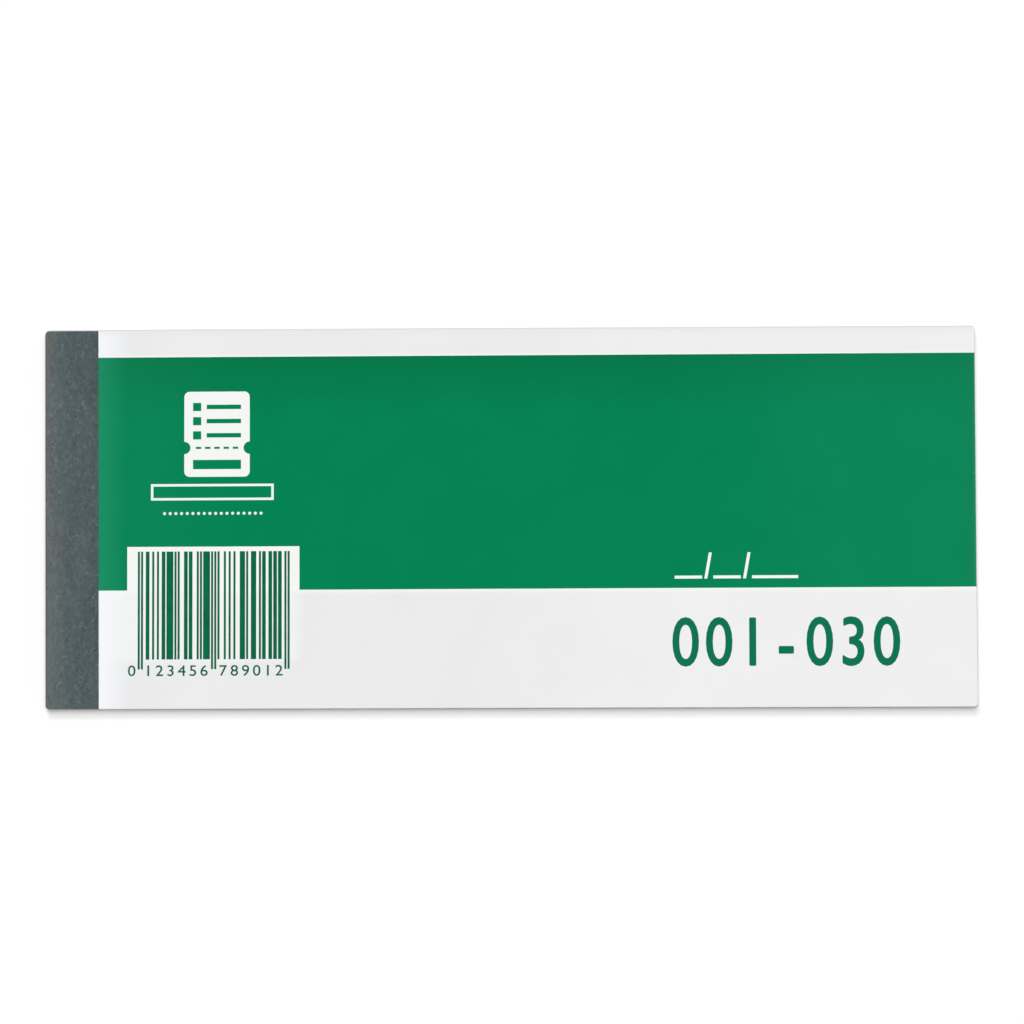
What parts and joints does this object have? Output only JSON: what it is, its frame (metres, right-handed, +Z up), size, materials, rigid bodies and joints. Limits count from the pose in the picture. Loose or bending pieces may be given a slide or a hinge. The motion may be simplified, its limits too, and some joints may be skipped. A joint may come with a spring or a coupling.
{
  "type": "voucher book",
  "caption": "Landscape book of tear-off paper vouchers under a printed card cover, stapled, glued and wrapped at one end in a grey paper tape.",
  "frame": {"origin": "middle of the book's length and width, on the flat back that it lies on", "axes": "+X from the bound end to the free end, +Y across the book towards the cover's upper edge, +Z up out of the front cover"},
  "size_m": [0.17, 0.0694, 0.0039],
  "materials": {
    "tape_paper": "fibrous uncoated binding paper, matt",
    "printed_card": "smooth white card printed with green ink, satin",
    "grey_board": "grey recycled board, matt",
    "leaf_paper": "uncoated white writing paper, matt",
    "dried_glue": "dried white glue film",
    "staple_wire": "flat galvanised wire"
  },
  "bodies": {
    "bound_spine": {"binding_tape": "tape_paper", "spine_glue": "dried_glue", "staple_upper": "staple_wire", "staple_lower": "staple_wire", "back_cover": "grey_board", "front_cover_strip": "printed_card", "leaf_margins": "leaf_paper"},
    "front_cover": {"front_cover": "printed_card"},
    "leaf_01": {"stub_01": "leaf_paper"},
    "leaf_02": {"leaf_02": "leaf_paper"},
    "leaf_03": {"leaf_03": "leaf_paper"},
    "leaf_04": {"leaf_04": "leaf_paper"},
    "leaf_05": {"leaf_05": "leaf_paper"},
    "leaf_06": {"leaf_06": "leaf_paper"},
    "leaf_07": {"leaf_07": "leaf_paper"},
    "leaf_08": {"leaf_08": "leaf_paper"},
    "leaf_09": {"leaf_09": "leaf_paper"},
    "leaf_10": {"leaf_10": "leaf_paper"},
    "leaf_11": {"leaf_11": "leaf_paper"},
    "leaf_12": {"leaf_12": "leaf_paper"},
    "leaf_13": {"leaf_13": "leaf_paper"},
    "leaf_14": {"leaf_14": "leaf_paper"},
    "leaf_15": {"leaf_15": "leaf_paper"},
    "leaf_16": {"leaf_16": "leaf_paper"},
    "leaf_17": {"leaf_17": "leaf_paper"},
    "leaf_18": {"leaf_18": "leaf_paper"},
    "leaf_19": {"leaf_19": "leaf_paper"},
    "leaf_20": {"leaf_20": "leaf_paper"},
    "leaf_21": {"leaf_21": "leaf_paper"},
    "leaf_22": {"leaf_22": "leaf_paper"},
    "leaf_23": {"leaf_23": "leaf_paper"},
    "leaf_24": {"leaf_24": "leaf_paper"},
    "leaf_25": {"leaf_25": "leaf_paper"},
    "leaf_26": {"leaf_26": "leaf_paper"},
    "leaf_27": {"leaf_27": "leaf_paper"},
    "leaf_28": {"leaf_28": "leaf_paper"},
    "leaf_29": {"leaf_29": "leaf_paper"},
    "leaf_30": {"leaf_30": "leaf_paper"},
    "voucher_01": {"voucher_01": "leaf_paper"}
  },
  "joints": [
    {"name": "cover_open", "type": "hinge", "parent": "bound_spine", "child": "front_cover", "pos_m": [-0.0752, 0, 0.00392], "axis": [0, -1, 0], "range_deg": [0, 180]},
    {"name": "leaf_01_turn", "type": "hinge", "parent": "bound_spine", "child": "leaf_01", "pos_m": [-0.0752, 0, 0.00392], "axis": [0, -1, 0], "range_deg": [0, 180]},
    {"name": "leaf_02_turn", "type": "hinge", "parent": "bound_spine", "child": "leaf_02", "pos_m": [-0.0752, 0, 0.00392], "axis": [0, -1, 0], "range_deg": [0, 180]},
    {"name": "leaf_03_turn", "type": "hinge", "parent": "bound_spine", "child": "leaf_03", "pos_m": [-0.0752, 0, 0.00392], "axis": [0, -1, 0], "range_deg": [0, 180]},
    {"name": "leaf_04_turn", "type": "hinge", "parent": "bound_spine", "child": "leaf_04", "pos_m": [-0.0752, 0, 0.00392], "axis": [0, -1, 0], "range_deg": [0, 180]},
    {"name": "leaf_05_turn", "type": "hinge", "parent": "bound_spine", "child": "leaf_05", "pos_m": [-0.0752, 0, 0.00392], "axis": [0, -1, 0], "range_deg": [0, 180]},
    {"name": "leaf_06_turn", "type": "hinge", "parent": "bound_spine", "child": "leaf_06", "pos_m": [-0.0752, 0, 0.00392], "axis": [0, -1, 0], "range_deg": [0, 180]},
    {"name": "leaf_07_turn", "type": "hinge", "parent": "bound_spine", "child": "leaf_07", "pos_m": [-0.0752, 0, 0.00392], "axis": [0, -1, 0], "range_deg": [0, 180]},
    {"name": "leaf_08_turn", "type": "hinge", "parent": "bound_spine", "child": "leaf_08", "pos_m": [-0.0752, 0, 0.00392], "axis": [0, -1, 0], "range_deg": [0, 180]},
    {"name": "leaf_09_turn", "type": "hinge", "parent": "bound_spine", "child": "leaf_09", "pos_m": [-0.0752, 0, 0.00392], "axis": [0, -1, 0], "range_deg": [0, 180]},
    {"name": "leaf_10_turn", "type": "hinge", "parent": "bound_spine", "child": "leaf_10", "pos_m": [-0.0752, 0, 0.00392], "axis": [0, -1, 0], "range_deg": [0, 180]},
    {"name": "leaf_11_turn", "type": "hinge", "parent": "bound_spine", "child": "leaf_11", "pos_m": [-0.0752, 0, 0.00392], "axis": [0, -1, 0], "range_deg": [0, 180]},
    {"name": "leaf_12_turn", "type": "hinge", "parent": "bound_spine", "child": "leaf_12", "pos_m": [-0.0752, 0, 0.00392], "axis": [0, -1, 0], "range_deg": [0, 180]},
    {"name": "leaf_13_turn", "type": "hinge", "parent": "bound_spine", "child": "leaf_13", "pos_m": [-0.0752, 0, 0.00392], "axis": [0, -1, 0], "range_deg": [0, 180]},
    {"name": "leaf_14_turn", "type": "hinge", "parent": "bound_spine", "child": "leaf_14", "pos_m": [-0.0752, 0, 0.00392], "axis": [0, -1, 0], "range_deg": [0, 180]},
    {"name": "leaf_15_turn", "type": "hinge", "parent": "bound_spine", "child": "leaf_15", "pos_m": [-0.0752, 0, 0.00392], "axis": [0, -1, 0], "range_deg": [0, 180]},
    {"name": "leaf_16_turn", "type": "hinge", "parent": "bound_spine", "child": "leaf_16", "pos_m": [-0.0752, 0, 0.00392], "axis": [0, -1, 0], "range_deg": [0, 180]},
    {"name": "leaf_17_turn", "type": "hinge", "parent": "bound_spine", "child": "leaf_17", "pos_m": [-0.0752, 0, 0.00392], "axis": [0, -1, 0], "range_deg": [0, 180]},
    {"name": "leaf_18_turn", "type": "hinge", "parent": "bound_spine", "child": "leaf_18", "pos_m": [-0.0752, 0, 0.00392], "axis": [0, -1, 0], "range_deg": [0, 180]},
    {"name": "leaf_19_turn", "type": "hinge", "parent": "bound_spine", "child": "leaf_19", "pos_m": [-0.0752, 0, 0.00392], "axis": [0, -1, 0], "range_deg": [0, 180]},
    {"name": "leaf_20_turn", "type": "hinge", "parent": "bound_spine", "child": "leaf_20", "pos_m": [-0.0752, 0, 0.00392], "axis": [0, -1, 0], "range_deg": [0, 180]},
    {"name": "leaf_21_turn", "type": "hinge", "parent": "bound_spine", "child": "leaf_21", "pos_m": [-0.0752, 0, 0.00392], "axis": [0, -1, 0], "range_deg": [0, 180]},
    {"name": "leaf_22_turn", "type": "hinge", "parent": "bound_spine", "child": "leaf_22", "pos_m": [-0.0752, 0, 0.00392], "axis": [0, -1, 0], "range_deg": [0, 180]},
    {"name": "leaf_23_turn", "type": "hinge", "parent": "bound_spine", "child": "leaf_23", "pos_m": [-0.0752, 0, 0.00392], "axis": [0, -1, 0], "range_deg": [0, 180]},
    {"name": "leaf_24_turn", "type": "hinge", "parent": "bound_spine", "child": "leaf_24", "pos_m": [-0.0752, 0, 0.00392], "axis": [0, -1, 0], "range_deg": [0, 180]},
    {"name": "leaf_25_turn", "type": "hinge", "parent": "bound_spine", "child": "leaf_25", "pos_m": [-0.0752, 0, 0.00392], "axis": [0, -1, 0], "range_deg": [0, 180]},
    {"name": "leaf_26_turn", "type": "hinge", "parent": "bound_spine", "child": "leaf_26", "pos_m": [-0.0752, 0, 0.00392], "axis": [0, -1, 0], "range_deg": [0, 180]},
    {"name": "leaf_27_turn", "type": "hinge", "parent": "bound_spine", "child": "leaf_27", "pos_m": [-0.0752, 0, 0.00392], "axis": [0, -1, 0], "range_deg": [0, 180]},
    {"name": "leaf_28_turn", "type": "hinge", "parent": "bound_spine", "child": "leaf_28", "pos_m": [-0.0752, 0, 0.00392], "axis": [0, -1, 0], "range_deg": [0, 180]},
    {"name": "leaf_29_turn", "type": "hinge", "parent": "bound_spine", "child": "leaf_29", "pos_m": [-0.0752, 0, 0.00392], "axis": [0, -1, 0], "range_deg": [0, 180]},
    {"name": "leaf_30_turn", "type": "hinge", "parent": "bound_spine", "child": "leaf_30", "pos_m": [-0.0752, 0, 0.00392], "axis": [0, -1, 0], "range_deg": [0, 180]},
    {"name": "voucher_01_tear_off", "type": "slide", "parent": "leaf_01", "child": "voucher_01", "axis": [1, 0, 0], "range_m": [0, 0.13]}
  ],
  "couplings": [
    {"joint": "leaf_01_turn", "follows": "cover_open", "ratio": 0.14},
    {"joint": "leaf_02_turn", "follows": "cover_open", "ratio": 0.13082},
    {"joint": "leaf_03_turn", "follows": "cover_open", "ratio": 0.12196},
    {"joint": "leaf_04_turn", "follows": "cover_open", "ratio": 0.1134},
    {"joint": "leaf_05_turn", "follows": "cover_open", "ratio": 0.10516},
    {"joint": "leaf_06_turn", "follows": "cover_open", "ratio": 0.097222},
    {"joint": "leaf_07_turn", "follows": "cover_open", "ratio": 0.0896},
    {"joint": "leaf_08_turn", "follows": "cover_open", "ratio": 0.082289},
    {"joint": "leaf_09_turn", "follows": "cover_open", "ratio": 0.075289},
    {"joint": "leaf_10_turn", "follows": "cover_open", "ratio": 0.0686},
    {"joint": "leaf_11_turn", "follows": "cover_open", "ratio": 0.062222},
    {"joint": "leaf_12_turn", "follows": "cover_open", "ratio": 0.056156},
    {"joint": "leaf_13_turn", "follows": "cover_open", "ratio": 0.0504},
    {"joint": "leaf_14_turn", "follows": "cover_open", "ratio": 0.044956},
    {"joint": "leaf_15_turn", "follows": "cover_open", "ratio": 0.039822},
    {"joint": "leaf_16_turn", "follows": "cover_open", "ratio": 0.035},
    {"joint": "leaf_17_turn", "follows": "cover_open", "ratio": 0.030489},
    {"joint": "leaf_18_turn", "follows": "cover_open", "ratio": 0.026289},
    {"joint": "leaf_19_turn", "follows": "cover_open", "ratio": 0.0224},
    {"joint": "leaf_20_turn", "follows": "cover_open", "ratio": 0.018822},
    {"joint": "leaf_21_turn", "follows": "cover_open", "ratio": 0.015556},
    {"joint": "leaf_22_turn", "follows": "cover_open", "ratio": 0.0126},
    {"joint": "leaf_23_turn", "follows": "cover_open", "ratio": 0.009956},
    {"joint": "leaf_24_turn", "follows": "cover_open", "ratio": 0.007622},
    {"joint": "leaf_25_turn", "follows": "cover_open", "ratio": 0.0056},
    {"joint": "leaf_26_turn", "follows": "cover_open", "ratio": 0.003889},
    {"joint": "leaf_27_turn", "follows": "cover_open", "ratio": 0.002489},
    {"joint": "leaf_28_turn", "follows": "cover_open", "ratio": 0.0014},
    {"joint": "leaf_29_turn", "follows": "cover_open", "ratio": 0.000622},
    {"joint": "leaf_30_turn", "follows": "cover_open", "ratio": 0.000156}
  ]
}
